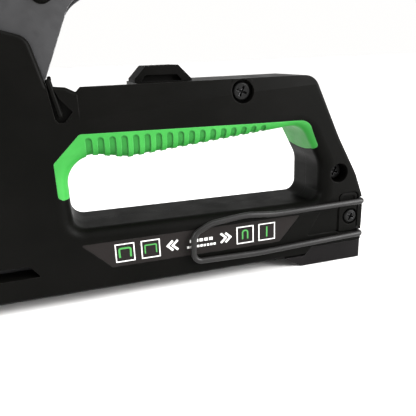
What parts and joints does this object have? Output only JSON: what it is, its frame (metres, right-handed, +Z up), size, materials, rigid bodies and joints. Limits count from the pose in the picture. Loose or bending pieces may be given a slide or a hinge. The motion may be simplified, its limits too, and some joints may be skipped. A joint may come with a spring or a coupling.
{
  "type": "staple gun",
  "caption": "Hand staple gun: closed finger-loop body, squeeze lever, spring-driven hammer, pull-out staple magazine and a swinging wire belt hook.",
  "frame": {"origin": "middle of the nose guide's flat bottom face, just in front of where a staple leaves", "axes": "+X along the body towards the rear, +Z up from the work face towards the lever, +Y to the right-hand shell; the belt hook is on the -Y side"},
  "size_m": [0.1883, 0.0344, 0.1756],
  "materials": {
    "body_plastic": "black moulded ABS, fine satin grain",
    "foot_plastic": "dark grey-black moulded nylon, satin",
    "grip_rubber": "bright green soft-touch elastomer",
    "stop_rubber": "black rubber",
    "label_panel": "dark grey printed panel",
    "zinc_steel": "zinc-plated sheet steel",
    "hard_steel": "hardened tool steel, ground",
    "black_steel": "black-coated sheet steel",
    "spring_steel": "oiled spring steel",
    "hook_wire": "black-coated spring wire, semi-gloss",
    "screw_steel": "black-oxide steel",
    "staple_steel": "galvanised wire"
  },
  "bodies": {
    "housing": {"left_shell": "body_plastic", "right_shell": "body_plastic", "grip_insert": "grip_rubber", "nose_guide": "zinc_steel", "staple_channel": "black_steel", "lever_stop": "stop_rubber", "tail_block": "body_plastic", "housing_screws": "screw_steel", "lever_pivot_pin": "black_steel", "pivot_retaining_ring": "black_steel", "pivot_bushing": "foot_plastic", "hammer_bumper": "stop_rubber", "label_panel_left": "label_panel", "label_panel_right": "label_panel", "power_spring": "spring_steel"},
    "lever": {"lever_arm": "black_steel", "lever_cover": "body_plastic", "lever_pad": "grip_rubber", "lever_rivets": "black_steel"},
    "hammer": {"hammer": "hard_steel", "driver_blade": "hard_steel", "blade_rivets": "zinc_steel"},
    "knob": {"power_knob": "foot_plastic", "knob_stem": "hard_steel"},
    "seat": {"spring_seat": "zinc_steel"},
    "magazine": {"end_cap": "foot_plastic", "magazine_rail": "zinc_steel", "rail_pin": "zinc_steel", "pusher_spring": "spring_steel", "staple_stick": "staple_steel"},
    "pusher": {"pusher": "zinc_steel"},
    "latch": {"magazine_latch": "foot_plastic"},
    "hook": {"belt_hook": "hook_wire"}
  },
  "joints": [
    {"name": "lever_hinge", "type": "hinge", "parent": "housing", "child": "lever", "pos_m": [0.038, 0, 0.082], "axis": [0, 1, 0], "range_deg": [0, 32], "stiffness_Nm_per_rad": 2, "springref_deg": -14.32},
    {"name": "hammer_slide", "type": "slide", "parent": "housing", "child": "hammer", "axis": [0, 0, 1], "range_m": [0, 0.01975], "deforming": ["power_spring"]},
    {"name": "knob_turn", "type": "hinge", "parent": "housing", "child": "knob", "pos_m": [0.0143, 0, 0.1], "axis": [0, 0, 1], "range_deg": [0, 270]},
    {"name": "seat_slide", "type": "slide", "parent": "housing", "child": "seat", "axis": [0, 0, -1], "range_m": [0, 0.0015]},
    {"name": "magazine_slide", "type": "slide", "parent": "housing", "child": "magazine", "axis": [1, 0, 0], "range_m": [0, 0.08]},
    {"name": "pusher_slide", "type": "slide", "parent": "magazine", "child": "pusher", "axis": [1, 0, 0], "range_m": [0, 0.07], "stiffness_N_per_m": 40, "springref_m": -0.05},
    {"name": "latch_press", "type": "slide", "parent": "magazine", "child": "latch", "axis": [-1, 0, 0], "range_m": [0, 0.0014], "stiffness_N_per_m": 300, "springref_m": -0.001},
    {"name": "hook_swing", "type": "hinge", "parent": "housing", "child": "hook", "pos_m": [0.1823, -0.0122, 0.0193], "axis": [0, 0, 1], "range_deg": [0, 90]}
  ],
  "couplings": [
    {"joint": "hammer_slide", "follows": "lever_hinge", "m_per_rad": 0.03533},
    {"joint": "knob_turn", "follows": "seat_slide", "rad_per_m": 3141.6}
  ]
}
